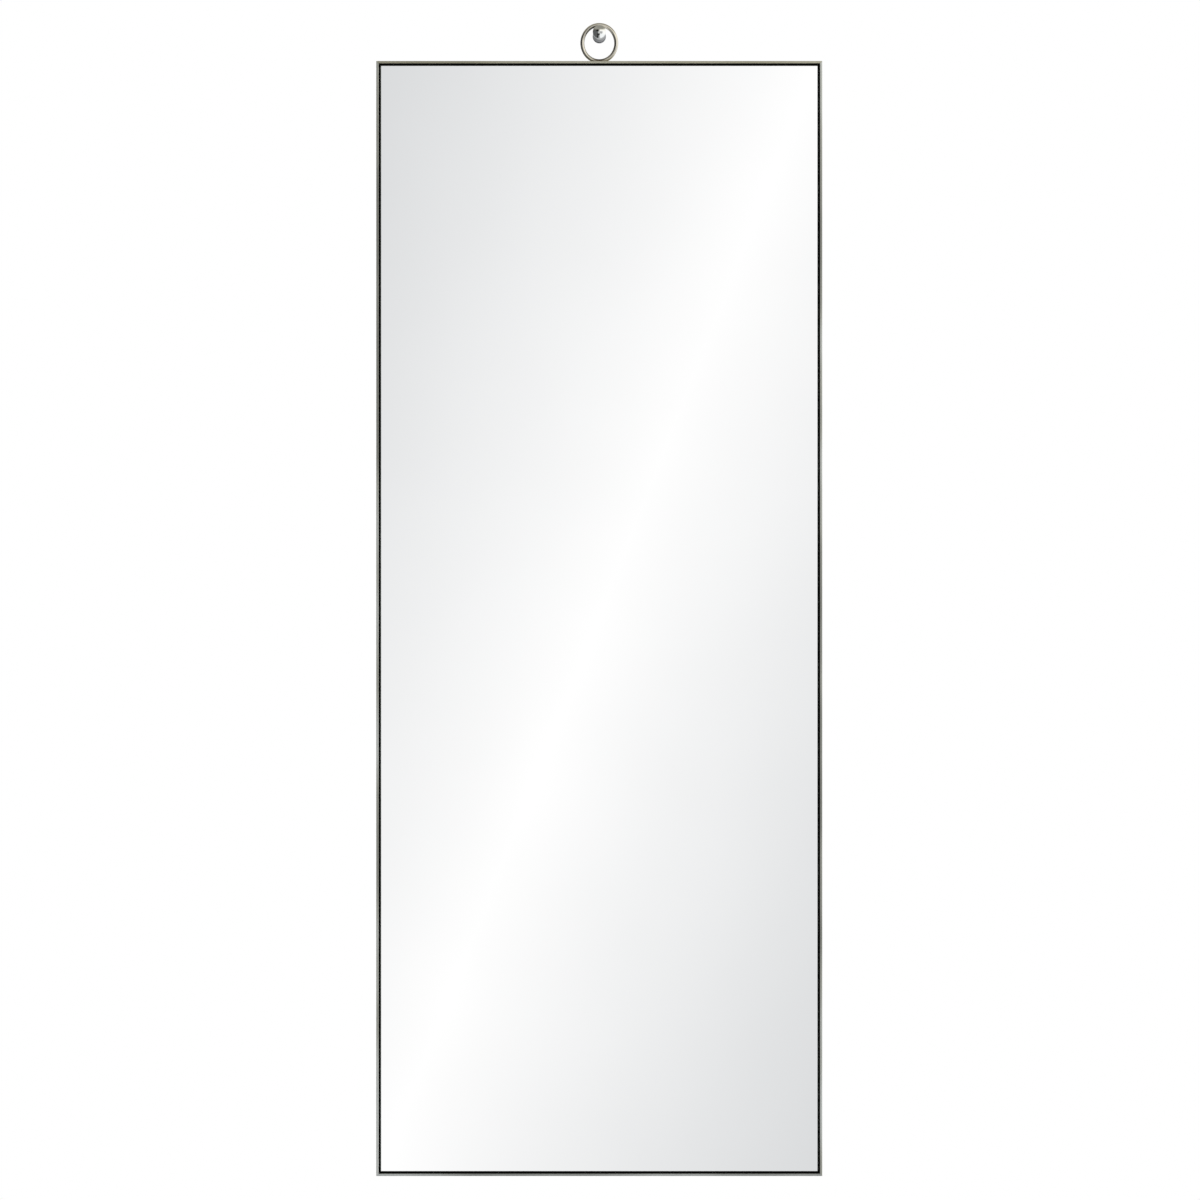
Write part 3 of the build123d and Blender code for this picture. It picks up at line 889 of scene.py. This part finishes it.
ahead = calc(sky, "MAXIMUM", front, LEAST_AHEAD)
across = calc(sky, "DIVIDE", right, ahead)
above = calc(sky, "DIVIDE", up, ahead)
from_band = calc(sky, "SUBTRACT", across, calc(sky, "MULTIPLY", above, BAND_SLOPE))
off_band = calc(sky, "ABSOLUTE", calc(sky, "SUBTRACT", from_band, BAND_OFFSET))
falling = calc(sky, "SUBTRACT", 1.0, calc(sky, "MULTIPLY", off_band, BAND_FALL))
tone = calc(sky, "POWER", calc(sky, "MAXIMUM", falling, PALEST), DISPLAY_POWER)
sheet = calc(sky, "MULTIPLY", tone, SHEET_LEVEL)
print("the band leans", round(math.degrees(math.atan(BAND_SLOPE)), 1), "degrees from upright")

# %% [markdown]
# The rest of the room is laid over the sheet, one part on another. The floor is dark, but paler straight
# below. Above and below the sheet the left is nearly black and the right is a white panel, which gives the
# round rod its one dark and one bright side. The same goes on beside the sheet and, more mildly, behind the
# wall. The ceiling comes last and is a dim grey.

# %% Room round the sheet
SIDE_LEVEL, SIDE_EDGE = 0.17, (0.2, 0.4)
FLOOR_LEVEL, FLOOR_EDGE = 0.12, (0.38, 0.5)
NEAR_FLOOR_LEVEL, NEAR_FLOOR_EDGE = 0.7, (0.72, 0.9)
PANEL_LEVEL, PANEL_EDGE = 1.4, (0.1, 0.22)
DARK_LEVEL, DARK_EDGE = 0.015, (0.1, 0.2)
BESIDE_LEFT_LEVEL, BESIDE_EDGE = 0.15, (0.3, 0.6)
REAR_LEFT_LEVEL, REAR_RIGHT_LEVEL, REAR_SPREAD = 0.14, 0.6, (-0.6, 0.1)
CEILING_LEVEL, CEILING_EDGE = 0.42, (0.45, 0.75)
HIGH_EDGE = (0.1, 0.17)
LEAST_FRONT = (0.5, 0.7)
REAR_EDGE = (0.6, 0.85)
REAR_LOW_EDGE = (0.35, 0.6)

low = step(sky, down, *FLOOR_EDGE)
off_level = calc(sky, "MAXIMUM", step(sky, up, *HIGH_EDGE), low)
beside = step(sky, front, *LEAST_FRONT, 1.0, 0.0)
rear_level = step(sky, right, *REAR_SPREAD, REAR_LEFT_LEVEL, REAR_RIGHT_LEVEL)
rear_level = between(step(sky, down, *REAR_LOW_EDGE), rear_level, FLOOR_LEVEL)
parts_of_room = [
    (step(sky, left, *SIDE_EDGE), SIDE_LEVEL),
    (low, FLOOR_LEVEL),
    (step(sky, down, *NEAR_FLOOR_EDGE), NEAR_FLOOR_LEVEL),
    (both(off_level, step(sky, right, *PANEL_EDGE)), PANEL_LEVEL),
    (both(off_level, step(sky, left, *DARK_EDGE)), DARK_LEVEL),
    (both(beside, step(sky, right, *BESIDE_EDGE)), PANEL_LEVEL),
    (both(beside, step(sky, left, *BESIDE_EDGE)), BESIDE_LEFT_LEVEL),
    (step(sky, rear, *REAR_EDGE), rear_level),
    (step(sky, up, *CEILING_EDGE), CEILING_LEVEL),
]
level = sheet
for mask, part_level in parts_of_room:
    level = between(mask, level, part_level)
print("room of", len(parts_of_room), "parts round the sheet")

# %% [markdown]
# Dim parts of the room are a little blue, the ceiling is warm and the floor is cool, as the bars show. Then
# the rays are sorted: reflected ones see the room, the camera's own see plain white, and all others take an
# even light, so that wood, rubber and nylon are lit from everywhere.

# %% Tints, and which ray sees what
DIM_TINT = (0.93, 0.985, 1.035, 1)
CEILING_TINT, WARM_EDGE = (1.0, 0.98, 0.87, 1), (0.24, 0.6)
FLOOR_TINT, COOL_EDGE = (0.96, 0.99, 1.02, 1), (0.26, 0.5)
PLAIN_LEVEL = 0.7

tint = mix_colours(sky, level, DIM_TINT, WHITE)
tint = mix_colours(sky, step(sky, up, *WARM_EDGE), tint, CEILING_TINT)
tint = mix_colours(sky, step(sky, down, *COOL_EDGE), tint, FLOOR_TINT)
room = add(sky, "ShaderNodeBackground", {"Color": tint, "Strength": level}).outputs[0]
plain = add(sky, "ShaderNodeBackground", {"Color": WHITE, "Strength": PLAIN_LEVEL}).outputs[0]
backdrop = add(sky, "ShaderNodeBackground", {"Color": WHITE, "Strength": 1.0}).outputs[0]
ray = add(sky, "ShaderNodeLightPath").outputs
lit = add(sky, "ShaderNodeMixShader", {0: ray["Is Glossy Ray"], 1: plain, 2: room}).outputs[0]
shown = add(sky, "ShaderNodeMixShader", {0: ray["Is Camera Ray"], 1: lit, 2: backdrop})
add(sky, "ShaderNodeOutputWorld", {"Surface": shown.outputs[0]})
print(world.name, "made of", len(sky.nodes), "nodes")

# %% [markdown]
# Three large soft lamps light what isn't metal: a key from the right, a fill from the left, and one from
# behind for the board and the bumpers. They are kept out of reflections, where their square edges would show.

# %% Lamps
LAMP_SIZE = 1.6


def soft_lamp(name, position, power):
    """A square area lamp aimed at the middle of the mirror. Metal doesn't mirror it."""
    data = bpy.data.lights.new(name, "AREA")
    data.size = LAMP_SIZE
    data.energy = power
    lamp = bpy.data.objects.new(name, data)
    lamp.location = position
    aim = Vector((0, 0, frame_middle_z)) - Vector(position)
    lamp.rotation_euler = aim.to_track_quat("-Z", "Y").to_euler()
    lamp.visible_glossy = False
    scene.collection.objects.link(lamp)
    print(name, power, "W")


soft_lamp("key lamp", (1.8, -2.2, 1.2), 30)
soft_lamp("fill lamp", (-2.2, -1.6, 0.2), 12)
soft_lamp("rear lamp", (1.4, 2.4, 0.9), 25)

# %% [markdown]
# The floor lies a little below the mirror, which hangs clear of it. It is a pale disc that fades out towards
# its rim, because a hard edge would show in views from above.

# %% Floor
FLOOR_DROP = 0.3
FLOOR_RADIUS = 2.4
FADE_START = 0.5
RIM_POINTS = 96
floor_z = frame_low.z - FLOOR_DROP
rim = [2 * math.pi * i / RIM_POINTS for i in range(RIM_POINTS)]
floor_points = [(FLOOR_RADIUS * math.cos(turn), FLOOR_RADIUS * math.sin(turn), floor_z) for turn in rim]
floor = new_piece("floor", floor_points, [], [range(RIM_POINTS)])
floor.visible_glossy = False
floor_paint, tree, shader = new_material("pale floor paint", roughness=0.8)
shader.inputs["Base Color"].default_value = linear("F4F4F2")
from_middle = add(tree, "ShaderNodeVectorMath", {0: place(tree, (1, 1, 0))}, operation="LENGTH")
fade = step(tree, from_middle.outputs["Value"], FADE_START, FLOOR_RADIUS)
clear = add(tree, "ShaderNodeBsdfTransparent").outputs[0]
faded = add(tree, "ShaderNodeMixShader", {0: fade, 1: shader.outputs[0], 2: clear})
tree.links.new(faded.outputs[0], tree.nodes["Material Output"].inputs["Surface"])
floor.data.materials.append(floor_paint)
print("floor at", round(floor_z, 3))

# %% [markdown]
# The wall is the part of the stage that the peg is driven into. It is plain white from the front and clear
# from behind, so that the back of the mirror can be looked at, and it takes no part in the light. It stands
# a hair behind the plane of the real wall, so that what touches that plane isn't half hidden.

# %% Wall
WALL_HALF_WIDTH = FLOOR_RADIUS
WALL_TOP = 0.6
WALL_Y = 0.3 * MM
wall_corners = ((-1, floor_z), (1, floor_z), (1, WALL_TOP), (-1, WALL_TOP))
wall_points = [(side * WALL_HALF_WIDTH, WALL_Y, z) for side, z in wall_corners]
wall = new_piece("wall", wall_points, [], [(0, 1, 2, 3)])
for kind_of_ray in ("visible_glossy", "visible_diffuse", "visible_shadow", "visible_transmission"):
    setattr(wall, kind_of_ray, False)
wall_paint = bpy.data.materials.new("white wall paint seen from its front")
wall_paint.use_nodes = True
tree = wall_paint.node_tree
tree.nodes.clear()
behind = add(tree, "ShaderNodeNewGeometry").outputs["Backfacing"]
white = add(tree, "ShaderNodeEmission", {"Color": WHITE, "Strength": 1.0}).outputs[0]
clear = add(tree, "ShaderNodeBsdfTransparent").outputs[0]
one_sided = add(tree, "ShaderNodeMixShader", {0: behind, 1: white, 2: clear})
add(tree, "ShaderNodeOutputMaterial", {"Surface": one_sided.outputs[0]})
wall.data.materials.append(wall_paint)
print("wall", 2 * WALL_HALF_WIDTH, "m wide")
